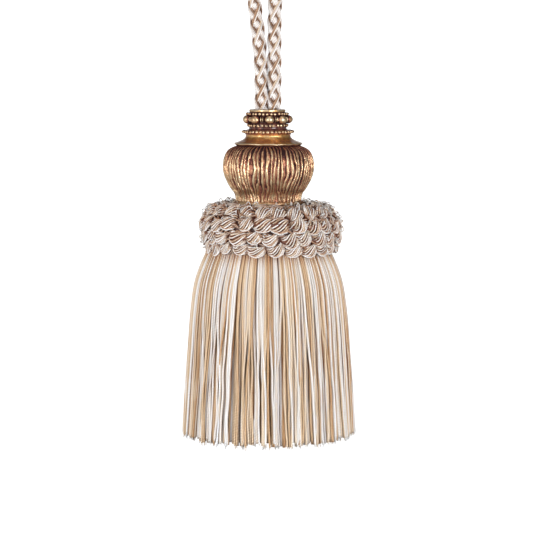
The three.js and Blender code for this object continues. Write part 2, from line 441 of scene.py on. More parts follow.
def gilt_material(name, gold, dull, blotch, rub, painted_edge_shade, coat):
    """Old gilding: gold on what stands out, and red-brown bole, toning and painted shade in the
    hollows, following the painted shade stored on the mesh. blotch and rub are how much the wear
    varies in blotches and in the grain. The edge setting is how much painted shade is added
    where the surface turns away from the eye, so the colour moves with the camera."""
    n = Nodes(bpy.data.materials.new(name))
    place = n.node("ShaderNodeTexCoord").outputs["Object"]
    blotches = n.noise(place, BLOTCHES, 4.0, 0.6)
    grain = n.noise(place, GRAIN, 3.0, 0.6)
    depth = n.attribute("depth")
    # The wear in blotches and in the grain is added to the painted shade, and the ramp takes both.
    worn = n.add(depth, n.span(blotches, 0.3, 0.7, -blotch, blotch))
    worn = n.add(worn, n.span(grain, 0.3, 0.7, -rub, rub))
    # Painted shade at the outline, where the surface turns away from the eye.
    facing = n.node("ShaderNodeLayerWeight", {"Blend": 0.5}).outputs["Facing"]
    worn = n.add(worn, n.span(facing, 0.5, 1.0, 0.0, painted_edge_shade))
    stops = [
        (0.0, GOLD_LIGHT),
        (0.2, gold),
        (0.42, dull),
        (0.6, BOLE),
        (0.8, SHADOW),
        (1.0, SHADOW_DEEP),
    ]
    return n.finish(
        Base_Color=n.ramp(worn, stops),
        Metallic=n.span(worn, 0.45, 0.85, 0.92, 0.15),
        Roughness=n.span(worn, 0.0, 0.9, 0.36, 0.6),
        Specular_Tint=EDGE_TINT,
        Coat_Weight=coat,
        Coat_Roughness=0.15,
        Normal=n.bump(n.add(blotches, n.times(grain, 0.4)), 0.06),
    )


cord_yarn = yarn_material("cord_yarn", 0.85, ply_crease_shade=0.25, ply_height=0.06, fibre_height=0.05)
ruff_yarn = yarn_material("ruff_yarn", 0.75, ply_crease_shade=0.4, ply_height=0.12, fibre_height=0.06)
skirt_yarn = yarn_material("skirt_yarn", 1.05, ply_crease_shade=0.6, ply_height=0.14, fibre_height=0.06)
gilt = gilt_material("gilt", GOLD, GOLD_DULL, blotch=0.16, rub=0.2, painted_edge_shade=0.4, coat=0.1)
neck_gilt = gilt_material("neck_gilt", NECK_GOLD, NECK_DULL, blotch=0.1, rub=0.05, painted_edge_shade=0.1, coat=0.7)


# ---- The cord loop ----

# The route [x, z], as in part.mjs. Here z is counted from the frame's origin.
CORD_ROUTE = [
    (-2.55, -80.5), (-2.6, -76), (-2.6, -71), (-2.6, -65), (-2.7, -59), (-3.05, -52.5),
    (-3.65, -46), (-4.4, -39.5), (-5.25, -33), (-6.45, -27), (-7.85, -21), (-9, -14.5),
    (-9.3, -7.5), (-8.05, -2.45), (-4.65, 0.95), (0, 2.2), (4.65, 0.95), (8.05, -2.45),
    (9.3, -7.5), (8.7, -14), (6.5, -20), (4, -26), (2.55, -32.5), (2.25, -39.5),
    (2.2, -46), (2.2, -52.5), (2.2, -59), (2.15, -65), (2.15, -71), (2.15, -76),
    (2.15, -80.5),
]
BRAID_LEAD = 27.6  # one strand goes once round the cord in this length
BRAID_RADIUS = 1.62  # of the middle of a strand, about the middle of the cord
BRAID_RISE = 0.33  # a strand goes out by this much over a crossing and in under one
BRAID_BELLY = 1.05  # of the rise: how far it swells up again between two crossings
LAP_PLACE = math.radians(12)  # the first hand's strands lie on top about here, and opposite
LAP_SHARE = 0.45  # above 0, they do so over more than half of the way round
LAP_SPEED = 1.6  # how quickly the two hands change places
FIRST_CROSSING = 15.4  # from the start of the cord to a crossing of a beige strand
CROSSING_SHIFT = 0.5  # the braid lags by this much on the second leg
HOOK = 12  # the strands turn over within this length of the bight's middle
HOOK_HEIGHT = 0.35  # how flat they stay as they do so
CORD_STEP = 0.72
CORD_YARN_RADIUS = 0.24  # of a plain yarn, and a thicker one stands out by the difference
CORD_YARN_SWAY = 0.07
CORD_YARN_FLANK_SHADE = 1.1  # how much painted shade a yarn's flanks get
UNDER_PAINTED_SHADE = 0.8  # how much painted shade a strand gets where it lies under the others
YARN_TURNS = 1 / 1.7
# The core that the strands lie round: brownish, with deep painted shade, as the shade seen through the
# holes of the braid.
CORE = {"radius": 1.56, "tone": 0.12, "depth": 0.7}
# The strands that go each way round the cord, with the tones of the yarns across each and
# their radii. `spread` is from the middle of a strand to its outermost yarn, and `bow` is how
# far its middle stands out.
BEIGE_STRAND = (0.0, 0.14, 0.08, 0.88, 0.0), (0.24, 0.27, 0.25, 0.28, 0.2)
LIGHT_STRAND = (0.04, 0.4, 0.62, 1.0, 0.04), (0.22, 0.27, 0.26, 0.3, 0.2)
BROAD_RADII = (0.2, 0.26, 0.28, 0.29, 0.28, 0.25, 0.2)
WHITE_STRAND = (0.1, 0.8, 1.0, 1.0, 0.98, 0.7, 0.04), BROAD_RADII
MIXED_STRAND = (0.04, 0.66, 0.98, 1.0, 0.94, 0.66, 0.1), BROAD_RADII
BRAID = [
    {"hand": 1, "strands": [BEIGE_STRAND, LIGHT_STRAND] * 2, "spread": 0.78, "bow": 0.22},
    {"hand": -1, "strands": [WHITE_STRAND, MIXED_STRAND] * 2, "spread": 1.34, "bow": 0.5},
]


def make_cord():
    route = np.array([(x, 0.0, z) for x, z in CORD_ROUTE])
    dense = spline(route, 24)
    _, length = evenly(dense, 2)
    middle, _ = evenly(dense, round(length / CORD_STEP))
    along = np.linspace(0, length, len(middle))
    run = unit(np.gradient(middle, axis=0))
    front = np.broadcast_to([0.0, -1.0, 0.0], middle.shape)
    side = np.cross(run, front)
    over_hook = smoothstep(length / 2 - HOOK, length / 2 + HOOK, along)
    phase = (along - FIRST_CROSSING - CROSSING_SHIFT * over_hook) * TURN / BRAID_LEAD
    roll = (math.pi * over_hook)[:, None]       # a strand turns over once, at the bight
    lap_place = LAP_PLACE * np.cos(roll)
    shape = Shape()
    for half in BRAID:
        hand, strands = half["hand"], half["strands"]
        for number, (tones, radii) in enumerate(strands):
            start = (number + (hand < 0) / 2) * TURN / len(strands)
            angle = (start + hand * phase)[:, None]
            lap = np.clip(LAP_SPEED * (np.cos(2 * (angle - lap_place)) + LAP_SHARE), -1, 1)
            over = hand * np.sin(lap * TURN / 4)
            between = np.abs(np.cos(len(strands) * angle))      # 1 midway between crossings
            over = over + BRAID_BELLY * between * (over < 0)
            outward = np.cos(angle) * front + np.sin(angle) * side
            heart = middle + (BRAID_RADIUS + BRAID_RISE * over) * outward
            across = np.cross(unit(np.gradient(heart, axis=0)), outward)
            width = np.cos(roll) * across + HOOK_HEIGHT * np.sin(roll) * outward
            yarns = []
            stands = []
            for place, size in zip(np.linspace(-1, 1, len(tones)), radii):
                seed = 900 + 50 * hand + 10 * number + round(4 * place)
                sway = CORD_YARN_SWAY * noise(along / length, 0 * along, 50, 1, seed)[:, None]
                bow = half["bow"] * (1 - place**2) + (size - CORD_YARN_RADIUS) + sway / 2
                yarns.append(heart + (place * half["spread"] + sway) * width + bow * outward)
                stands.append(outward + place / 2 * width)
            # Painted shade where a strand lies under the others.
            under_painted_shade = UNDER_PAINTED_SHADE * smoothstep(-0.15, -0.95, over[:, 0])
            tone, radius = (np.array(values)[:, None] for values in (tones, radii))
            looks = (tone, under_painted_shade[None], YARN_TURNS, np.stack(stands), CORD_YARN_FLANK_SHADE)
            tubes(shape, np.stack(yarns), radius, ring_section(5), *looks)
    tubes(shape, middle[None, ::2], CORE["radius"], ring_section(8), CORE["tone"], CORE["depth"])
    loop = shape.piece("cord_loop_braid", cord_yarn, "cord_yarn", "cord_loop")


make_cord()


# ---- The gilt collar ----

BORE_RADIUS = 5.15
COLLAR_HEIGHT = 13.6
# The turned outline from the rim of the bore down the outside: radius, below, and how much
# painted shade it gets there, most in the recesses behind the beads and under the flange.
COLLAR_OUTLINE = [
    (BORE_RADIUS, 0.0, 0.5), (6.4, 0.0, 0.2), (6.7, -0.2, 0.0), (6.7, -0.75, 0.15),
    (6.45, -1.0, 0.9), (6.9, -1.15, 0.9), (7.3, -1.35, 0.7), (7.3, -1.95, 0.8),
    (6.8, -2.3, 0.8), (6.5, -2.6, 0.8),
    (6.5, -4.8, 0.8), (6.8, -5.15, 0.75), (7.0, -5.4, 0.8), (7.0, -6.2, 0.75), (6.85, -6.6, 0.8),
    (6.9, -7.2, 0.8), (8.1, -7.55, 0.6), (8.8, -7.8, 0.5), (8.8, -8.6, 0.6), (8.5, -8.95, 0.6),
    (8.3, -9.25, 0.4), (8.2, -9.7, 0.2), (8.4, -10.3, 0.3), (9.0, -10.9, 0.35),
    (9.9, -11.4, 0.38), (11.2, -11.9, 0.4), (12.15, -12.25, 0.25), (12.5, -12.35, 0.0),
    (12.6, -12.6, 0.0), (12.4, -12.85, 0.5), (12.0, -13.05, 0.9),
    (11.6, -COLLAR_HEIGHT, 1.0), (BORE_RADIUS, -COLLAR_HEIGHT, 1.0),
]
COLLAR_SEGMENTS = 240
COLLAR_LEAN = -0.45  # its top sits this much to one side of its foot
BEAD_ROWS = [
    {"count": 32, "ring": 7.4, "below": -1.65, "size": (0.62, 0.60, 0.50), "seed": 11},
    {"count": 30, "ring": 7.1, "below": -5.9, "size": (0.62, 0.62, 0.60), "seed": 12},
    {"count": 40, "ring": 9.0, "below": -8.2, "size": (0.70, 0.62, 0.55), "seed": 13},
]
LARGE_BEADS = {"count": 9, "ring": 7.5, "below": -3.65, "size": (1.8, 1.9, 1.55), "seed": 14}
FIRST_BEAD = math.radians(-86)
# The two thin upright beads between one large bead and the next.
REELS = {"ring": 7.25, "size": (0.95, 0.28, 1.0), "apart": 0.34}
BEAD_UNEVEN = 0.14
LARGE_BEAD_UNEVEN = 0.05
CAST_WEAR = 0.05  # how far the turned surface is from true


def round_corners(points, passes):
    """Cuts the corners of an open line of rows, so that its edges look cast and rubbed."""
    points = np.asarray(points, float)
    for _ in range(passes):
        near = 0.8 * points[:-1] + 0.2 * points[1:]
        far = 0.2 * points[:-1] + 0.8 * points[1:]
        cut = np.stack([near, far], 1).reshape(-1, points.shape[1])
        points = np.vstack([points[:1], cut, points[-1:]])
    return points


def bead_shape(rings, sides):
    """Corners and faces of one ball of radius 1, with its triangles apart from its quads."""
    polar = np.linspace(0, math.pi, rings)[1:-1, None]
    turn = np.arange(sides) * TURN / sides
    across = [np.sin(polar) * np.cos(turn), np.sin(polar) * np.sin(turn)]
    ball = np.stack([*across, np.cos(polar) + 0 * turn], -1).reshape(-1, 3)
    ball = np.vstack([ball, [[0, 0, 1.0], [0, 0, -1.0]]])
    number = np.arange((rings - 2) * sides).reshape(rings - 2, sides)
    near, far = number[:-1], number[1:]
    quads = np.stack([near, far, np.roll(far, -1, 1), np.roll(near, -1, 1)], -1)
    first, last = number[0], number[-1]
    top = np.full(sides, len(ball) - 2)
    tops = np.stack([top, first, np.roll(first, -1)], -1)
    bases = np.stack([last, top + 1, np.roll(last, -1)], -1)
    return ball, (quads.reshape(-1, 4), np.concatenate([tops, bases]))


def balls(shape, middles, angles, sizes, seed, rings=9, sides=14, roughness=0.06):
    """Adds beads. middles is (count, 3), and sizes (count, 3) are out from the axis, along
    the row and up. A bead's back and edges get painted shade."""
    count = len(middles)
    ball, blocks = bead_shape(rings, sides)
    random = np.random.default_rng(seed)
    wobble = 1 + roughness * random.uniform(-1, 1, (count, len(ball), 1))
    local = ball[None] * wobble * sizes[:, None]
    out = about_z(1.0, angles, 0.0)[:, None]
    row = np.cross([0.0, 0.0, 1.0], out)
    corners = middles[:, None] + local[..., :1] * out + local[..., 1:2] * row
    corners[..., 2] += local[..., 2]
    # Painted shade on each bead's back and edges, a little more or less on each bead.
    facing = ball[:, 0]
    depth = 1.0 - 0.95 * smoothstep(0.0, 0.8, facing)
    depth = depth + 0.12 * random.uniform(-1, 1, (count, 1))
    faces = []
    for block in blocks:
        every = block[None] + (np.arange(count) * len(ball))[:, None, None]
        every = every.reshape(-1, block.shape[1])
        faces.append((every, np.zeros((*every.shape, 2))))
    shape.add(corners, faces, 0.0, depth.ravel())


def bead_row(row, start, unevenness):
    """Where the beads of a ring lie: their angles, middles and sizes, all a little uneven."""
    random = np.random.default_rng(row["seed"])
    count = row["count"]
    pitch = TURN / count
    angles = start + pitch * (np.arange(count) + unevenness * random.uniform(-1, 1, count))
    ring = row["ring"] + unevenness * 0.5 * random.uniform(-1, 1, count)
    lift = unevenness * 0.6 * random.uniform(-1, 1, count)
    middles = about_z(ring, angles, HEAD_TOP + row["below"] + lift)
    sizes = np.array(row["size"]) * (1 + unevenness * random.uniform(-1, 1, (count, 3)))
    return angles, middles, sizes


def lean(shape):
    """Sets the collar a little askew, as it is fitted by hand."""
    for corners in shape.corners:
        corners[:, 0] += COLLAR_LEAN * (1 + (corners[:, 2] - HEAD_TOP) / COLLAR_HEIGHT)


def make_collar():
    outline = round_corners(COLLAR_OUTLINE, 2)
    radius = outline[:, 0][:, None]
    height = outline[:, 1][:, None]
    u = (np.arange(COLLAR_SEGMENTS) / COLLAR_SEGMENTS)[None]
    v = -height / COLLAR_HEIGHT
    worn = CAST_WEAR * (noise(u, v, 60, 14, 21) + 0.8 * noise(u, v, 17, 8, 22))
    outside = (radius > BORE_RADIUS + 0.2) & (height > 0.1 - COLLAR_HEIGHT)
    flange = smoothstep(10.8, 11.8, radius)         # its edge goes up and down a little
    below = height - 2 * CAST_WEAR * noise(u, 0 * v, 34, 1, 23) * flange
    ring = radius + worn * outside
    # The outline's painted shade, a little uneven.
    depth = outline[:, 2][:, None] + 0.12 * noise(u, v, 80, 20, 24)
    shape = Shape()
    turned(shape, ring, HEAD_TOP + below + 0 * ring, np.clip(depth, 0, 1.1))
    lean(shape)
    shape.piece("collar_turning", neck_gilt, "gilt", "head_collar")

    beads = Shape()
    for row in BEAD_ROWS:
        angles, middles, sizes = bead_row(row, 0.0, BEAD_UNEVEN)
        balls(beads, middles, angles, sizes, row["seed"])
    angles, middles, sizes = bead_row(LARGE_BEADS, FIRST_BEAD, LARGE_BEAD_UNEVEN)
    balls(beads, middles, angles, sizes, seed=15, rings=19, sides=30, roughness=0.015)
    between = angles + TURN / LARGE_BEADS["count"] / 2
    for step in (-1, 1):
        turn = between + step * REELS["apart"] / REELS["ring"]
        middles = about_z(REELS["ring"], turn, HEAD_TOP + LARGE_BEADS["below"])
        sizes = np.tile(REELS["size"], (len(turn), 1))
        balls(beads, middles, turn, sizes, seed=16 + step, rings=11, roughness=0.05)
    lean(beads)
    beads.piece("collar_beads", gilt, "gilt")


make_collar()


# ---- The carved bulb ----

# The outline [radius, below] over the tops of the flutes.
BULB_OUTLINE = [
    (11.4, -13.4), (12.4, -13.6), (15.2, -15.3), (16.75, -19.4), (16.4, -24.0),
    (14.45, -28.3), (13.65, -29.5), (12.75, -30.7), (12.3, -32.0), (12.15, -33.4),
]
BULB_FOOT = [(12.1, -33.55), (12.6, -33.75), (12.85, -34.2), (12.7, -34.7), (9.0, -34.9)]
BULB_SEGMENTS = 840
BULB_RINGS = 88
FLUTES = 64
FLUTE_DEPTH = 0.55
NICK_DEPTH = 0.3
FOOT_EASE = 0.4  # how much shallower the flutes are on the foot
TOOL_MARKS = (0.06, 0.04)  # how deep the long and the short ones are
# How dark the gilding is painted everywhere, in the gouges, the thin cuts, the nicks and
# the tool marks, and in blotches, and then on the shoulder and in its gouges: toning everywhere
# and in the blotches, and painted shade in the hollows and on the shoulder, which gets little
# light from above.
TONING_AND_PAINTED_SHADE = {"all": 0.06, "gouge": 0.52, "line": 0.5, "nick": 0.4, "fine": 0.12, "blotch": 0.12}
SHOULDER_PAINTED_SHADE = {"all": 0.27, "gouge": 0.22}
LID_BELOW = -13.9
SPINDLE_RADIUS = 9.0
SPINDLE_DEPTH = 55.5
# Painted shade on the lid under the collar and on the spindle inside the skirt, both in shadow.
LID_SHADE = 0.9
SPINDLE_SHADE = 0.7
AXIS_RADIUS = 0.02  # the turned body stays open by this much round the axis


def bulb_relief(u, v):
    """How deep the carving goes in, and how dark it is painted: toning, painted shade in the
    hollows and on the shoulder, and a painted highlight in lighter patches on the foot. u goes
    once round the bulb and v down it."""
    foot = smoothstep(0.80, 0.88, v)
    painted_shade_shoulder = smoothstep(0.42, 0.1, v)
    sway = 0.42 * noise(u, v, 40, 4, 31) + 0.19 * noise(u, v, 110, 9, 32)
    sway = sway + 0.5 * foot * noise(u, 0 * v, 30, 1, 33)
    place = (u * FLUTES + sway) % 1 - 0.5           # 0 on the top of a flute
    gouge = 1 - smoothstep(0.33, 0.12, np.abs(place))
    line = np.exp(-(((place + 0.32) / 0.09) ** 2))  # a thin cut along one side of each flute, with painted shadow along it
    bridge = smoothstep(0.45, 0.85, noise(u, v, 70, 9, 43))
    # Patches where the foot's flutes are shallower and lighter gold is painted as a highlight.
    shallow_highlight_patch = noise(u, v, 9, 2, 37)
    strength = 1 + 0.25 * noise(u, v, 120, 5, 35) + 0.15 * noise(u, v, 60, 12, 36)
    strength = strength * (1 - 0.4 * bridge) * smoothstep(0.0, 0.05, v)
    strength = np.clip(strength * (1 - FOOT_EASE * foot * (1 + 0.6 * shallow_highlight_patch)), 0, 1.5)
    nick = np.clip(noise(u, v, 240, 30, 38) - 0.6, 0, 1) * 2
    fine = noise(u, v, 330, 12, 44)
    cut = FLUTE_DEPTH * strength * (0.85 * gouge + 0.3 * line) + NICK_DEPTH * nick
    cut = cut + TOOL_MARKS[0] * fine + TOOL_MARKS[1] * noise(u, v, 330, 70, 39)
    # Toning everywhere and in blotches, and painted shade in the gouges, thin cuts, nicks and tool
    # marks.
    shade = TONING_AND_PAINTED_SHADE["all"] + strength * (TONING_AND_PAINTED_SHADE["gouge"] * gouge + TONING_AND_PAINTED_SHADE["line"] * line)
    shade = shade + TONING_AND_PAINTED_SHADE["nick"] * nick
    shade = shade + TONING_AND_PAINTED_SHADE["fine"] * fine + TONING_AND_PAINTED_SHADE["blotch"] * noise(u, v, 50, 10, 40)
    # The foot gets a little painted shade, and a painted highlight of lighter gold in the patches.
    shade = shade + foot * (0.02 - 0.45 * smoothstep(0.0, 0.6, shallow_highlight_patch))
    # Painted shade on the shoulder and in its gouges, as the shoulder gets little light from above.
    shade = shade + painted_shade_shoulder * (SHOULDER_PAINTED_SHADE["all"] + SHOULDER_PAINTED_SHADE["gouge"] * gouge)
    return cut, shade


def make_bulb():
    outline, _ = evenly(spline(BULB_OUTLINE), BULB_RINGS)
    u = (np.arange(BULB_SEGMENTS) / BULB_SEGMENTS)[None]
    v = np.linspace(0, 1, BULB_RINGS)[:, None]
    cut, shade = bulb_relief(u, v)
    foot = np.array(BULB_FOOT)
    foot_relief = TOOL_MARKS[0] * noise(u, 0 * foot[:, :1], 90, 1, 41)
    # The foot's lip is painted dark, as the shade it lies in above the ruff.
    foot_shade = 0.25 + 0.2 * noise(u, 0 * foot[:, :1], 60, 1, 42)
    lid = np.array([(AXIS_RADIUS, LID_BELOW), (11.2, LID_BELOW)])
    spindle = np.array(
        [
            (SPINDLE_RADIUS, -SPINDLE_DEPTH + 0.4),
            (SPINDLE_RADIUS - 0.4, -SPINDLE_DEPTH),
            (AXIS_RADIUS, -SPINDLE_DEPTH),
        ]
    )
    flat = np.zeros((1, BULB_SEGMENTS))
    parts = (lid, outline, foot, spindle)
    reliefs = (flat, -cut, foot_relief, flat)
    shades = (flat + LID_SHADE, shade, foot_shade, flat + SPINDLE_SHADE)
    ring = np.vstack([part[:, :1] + relief for part, relief in zip(parts, reliefs)])
    below = np.vstack([part[:, 1:] + flat for part in parts])
    depth = np.vstack([0 * part[:, :1] + dark for part, dark in zip(parts, shades)])
    shape = Shape()
    turned(shape, ring, HEAD_TOP + below, np.clip(depth, 0, 1.1))
    shape.piece("bulb_carved", gilt, "gilt", "head_bulb")


make_bulb()


# ---- The ruff ----

# The outside [radius, below] that the bights are laid over, from the foot of the bulb out.
RUFF_OUTLINE = [
    (13.2, -37.2), (15.0, -36.2), (17.6, -35.7), (20.8, -36.3), (23.5, -38.9), (24.6, -42.4),
    (24.2, -46.8), (22.9, -52.0),
]
RUFF_SHIFT = 0.9  # the whole ruff sits this much to one side
RUFF_TILT = 0.018  # and its right side lower, by this share of the distance
# The rows of puffs from the top: each one's place down the skin, how many puffs it has, half
# of a puff's height, its way (1 where it arches down the ruff and -1 where it arches up it),
# how much it leans, how far it stands off the skin, and how much more painted shade it gets,
# most on the top rows, where little light falls.
PuffRow = namedtuple("PuffRow", "place count half_height way lean rise shade")
RUFF_ROWS = [
    PuffRow(0.08, 16, 2.2, -1.0, 0.4, 0.8, 0.25),
    PuffRow(0.235, 19, 2.9, -1.0, 0.5, 1.1, 0.1),
    PuffRow(0.39, 22, 3.1, -0.7, 1.0, 1.2, 0.0),
    PuffRow(0.555, 24, 3.2, 0.7, 1.0, 1.2, 0.0),
    PuffRow(0.735, 24, 3.3, 1.0, 0.6, 1.3, 0.0),
    PuffRow(0.9, 23, 2.8, 1.1, 0.3, 1.1, 0.0),
]
ROW_STAGGER = 0.5  # of the space between two puffs, from each row to the next
ROW_JITTER = 0.13
PUFF_WIDTH = 1.16  # of the space between one puff and the next
# The least and the most of a puff's width, height and rise, and how far its place down the
# skin, its way and its lean vary from its row's.
PUFF_WIDTHS, PUFF_HEIGHTS, PUFF_RISES = (0.85, 1.1), (0.85, 1.2), (0.75, 1.25)
PUFF_SHIFT, PUFF_TURN = 0.45, 0.35
PUFF_TWIST = math.radians(80)  # of its yarns, either way from its middle
PUFF_ARCH = 0.85  # how far its middle line bows, over half of its height
PUFF_GIRTH = (0.72, 0.12)  # of its twist, over half of its height, and less where it arches
PUFF_SHAKE = 0.1  # how far a yarn lies off its place
SLANT = 0.25  # rise to the right over the run, on the camera's side
SLANT_SWING = 0.34  # more of it to the right, and less to the left
BIGHTS = 12  # yarns in one puff: one round its tip, and the others twisted
BIGHT_STEPS = 11
BIGHT_RADIUS = 0.35
BIGHT_SIZES = (0.85, 1.2)
BIGHT_TURNS = 1 / 1.5
RUFF_TONES = (0.92, 0.5, 1.0, 0.7, 0.4, 0.97, 0.32, 0.88, 0.55, 1.0, 0.28, 0.78)
FLECK = 0.12  # how much a yarn's tone changes along it
RIM_TONE = 1.0  # of the yarn round a puff's tip
RIM_SIZE = 1.2  # of its radius, over that of the twisted yarns
RIM_FLANK_SHADE = 1.1  # how much painted shade its flanks get
INNER_FLANK_SHADE = 1.25  # and those of the twisted yarns
# The core that a puff's yarns lie round: tan, with deep painted shade, as the shade between them.
CORE_TONE, CORE_PAINTED_SHADE = 0.2, 0.88
# Short yarns that lie between the puffs. A spot is a share of the way down the skin, lie is
# the angle they lie at, reach is half of their length, and their middles bow sideways and
# arch outwards.
# The filling's yarns get some painted shade, and more on their flanks.
FILLING = {
    "count": 700, "radius": 0.34, "tones": (0.3, 0.9), "depth": 0.4, "painted_edge_shade": 0.6,
    "spot": (0.02, 1.0), "lie": (-0.6, 0.9), "reach": (1.2, 2.2), "bow": 0.9,
    "stand": (0.1, 0.8), "arch": 0.4,
}
# Fine loops that have worked loose, and how far their feet and their tops stand off the skin.
STRAYS = {
    "count": 230, "radius": 0.17, "tones": (0.3, 1.0), "depth": 0.1, "spot": (0.06, 0.97),
    "reach": (0.5, 1.2), "foot": 1.0, "height": (0.7, 1.8), "skew": 0.4,
}
RUFF_BED_DROP = 0.3
RUFF_BED_SIDES = 104
# The bed is tan with nearly full painted shade, as the dark at the bottom of the gaps.
RUFF_BED_PAINTED_SHADE, RUFF_BED_TONE = 0.97, 0.16
RUFF_INSIDE = [(22.3, -51.6), (22.0, -49.8), (9.3, -49.6), (9.3, -34.8), (12.4, -34.8)]


class Skin:
    """The ruff's outside as a place to lay yarn on: `along` runs down it in millimetres."""

    def __init__(self, outline):
        self.line, self.length = evenly(spline(outline), 240)
        run = unit(np.gradient(self.line, axis=0))
        self.out = np.stack([-run[:, 1], run[:, 0]], 1)
        self.along = np.linspace(0, self.length, len(self.line))

    def at(self, along, angle, stand):
        """Points this far down the skin, at this angle about Z, and standing off it."""
        along = np.maximum(along, 0.2)
        columns = (*self.line.T, *self.out.T)
        radius, height, across, up = (np.interp(along, self.along, c) for c in columns)
        over = np.maximum(along - self.length, 0)       # past the lip a bight hangs straight down
        radius = radius + stand * across
        height = height + stand * up - over
        height = height - RUFF_TILT * radius * np.cos(angle)
        return about_z(radius, angle, HEAD_TOP + height) + [RUFF_SHIFT, 0.0, 0.0]


def make_ruff_bed(skin):
    """What the puffs are laid on, painted as the shade at the bottom of the gaps between them."""
    outside = (skin.line - RUFF_BED_DROP * skin.out)[::6]
    outline = np.vstack([outside, RUFF_INSIDE])
    flat = np.zeros((1, RUFF_BED_SIDES))
    height = HEAD_TOP + outline[:, 1:] + flat
    bed = Shape()
    turned(bed, outline[:, :1] + flat, height, RUFF_BED_PAINTED_SHADE, RUFF_BED_TONE)
    corners = bed.corners[0]
    corners[:, 0] += RUFF_SHIFT * smoothstep(22.6, 24, np.hypot(corners[:, 0], corners[:, 1]))
    bed.piece("ruff_bed", ruff_yarn, "ruff_yarn", "ruff")


def puff(skin, row, angle, random):
    """The yarns of one puff: paths, the way each faces, and how much painted shade each gets.
    Then the path and the radius of the core that they lie round."""
    t = np.linspace(-1, 1, BIGHT_STEPS)
    swell = np.sqrt(1 - t**2)
    end = smoothstep(0.62, 1.0, np.abs(t))
    down = row.place * skin.length + PUFF_SHIFT * random.uniform(-1, 1)
    ring = np.interp(down, skin.along, skin.line[:, 0])
    half_width = PUFF_WIDTH * TURN * ring / row.count / 2 * random.uniform(*PUFF_WIDTHS)
    tall = row.half_height * random.uniform(*PUFF_HEIGHTS)
    way = row.way + PUFF_TURN * random.uniform(-1, 1)
    facing = 1 if way > 0 else -1
    slant = row.lean * (SLANT + SLANT_SWING * math.cos(angle)) + PUFF_TURN * random.uniform(-1, 1)
    roll = np.array([math.cos(math.atan(slant)), math.sin(math.atan(slant))])
    hump = row.rise * random.uniform(*PUFF_RISES) * (0.25 + 0.75 * swell)
    arch = PUFF_ARCH * tall * way * (swell - 0.65)
    fat = (PUFF_GIRTH[0] - PUFF_GIRTH[1] * abs(way)) * (0.3 + 0.7 * swell)
    girth = tall * fat
    start = random.uniform(0, TURN)
    rows = []
    for yarn in range(BIGHTS):
        phase = start + TURN * yarn / (BIGHTS - 1) + PUFF_TWIST * t
        ahead, top = np.cos(phase), np.sin(phase)
        if yarn == 0:
            ahead, top = facing * (1.02 - 0.1 * end), 0.1 + 0.2 * swell
        shake = PUFF_SHAKE * random.uniform(-1, 1) + PUFF_SHAKE * random.uniform(-1, 1, len(t))
        stand = hump + 0.95 * fat * top - 0.5 - 1.0 * end + 0.4 * facing * ahead * swell
        # Painted shade on the side of a yarn that turns into the puff.
        painted_inner_side_shade = 0.6 * smoothstep(0.35, -0.4, top)
        across = half_width * t * (1 - 0.08 * top)
        ahead = arch + girth * ahead + shake
        crown_ahead = ahead + 1.2 * (ahead - arch) / tall
        along = down + roll[0] * ahead - roll[1] * across
        crown_along = down + roll[0] * crown_ahead - roll[1] * across
        turn = angle + (roll[0] * across + roll[1] * ahead) / ring
        path = skin.at(along, turn, stand)
        crown = skin.at(crown_along, turn, stand + 0.5 + 0.8 * top)
        # Painted shade where the ends dive into the bed, on the side turned into the puff, and by row.
        rows.append((path, crown - path, 0.6 * end + painted_inner_side_shade + row.shade))
    along = down + roll[0] * arch - roll[1] * half_width * t
    turn = angle + (roll[0] * half_width * t + roll[1] * arch) / ring
    return rows, (skin.at(along, turn, hump - 0.75 - 1.0 * end), girth / 2)


def filling(skin, random):
    """Paths of short yarns that lie every way between the puffs."""
    rows = (FILLING["count"], 1)
    t = np.linspace(-1, 1, 6)[None]
    spot = random.uniform(*FILLING["spot"], rows) * skin.length
    angle = random.uniform(0, TURN, rows)
    lie = random.uniform(*FILLING["lie"], rows)
    reach = random.uniform(*FILLING["reach"], rows) * t
    bow = random.uniform(-FILLING["bow"], FILLING["bow"], rows) * (1 - t**2)
    along = spot - reach * np.sin(lie) + bow * np.cos(lie)
    across = reach * np.cos(lie) + bow * np.sin(lie)
    turn = angle + across / np.interp(spot, skin.along, skin.line[:, 0])
    stand = random.uniform(*FILLING["stand"], rows) + FILLING["arch"] * (1 - t**2)
    return skin.at(along, turn, stand)


def stray_loops(skin, random):
    """Paths of fine loops that have worked loose and stand off the ruff."""
    rows = (STRAYS["count"], 1)
    t = np.linspace(-1, 1, 7)[None]
    spot = random.uniform(*STRAYS["spot"], rows) * skin.length
    angle = random.uniform(0, TURN, rows)
    lie = random.uniform(0, math.pi, rows)
    reach = random.uniform(*STRAYS["reach"], rows) * t
    along = spot + reach * np.sin(lie)
    turn = angle + reach * np.cos(lie) / np.interp(spot, skin.along, skin.line[:, 0])
    height = random.uniform(*STRAYS["height"], rows)
    skew = STRAYS["skew"] * t * random.uniform(-1, 1, rows)
    stand = STRAYS["foot"] + height * (1 - t**2) + skew
    return skin.at(along, turn, stand)


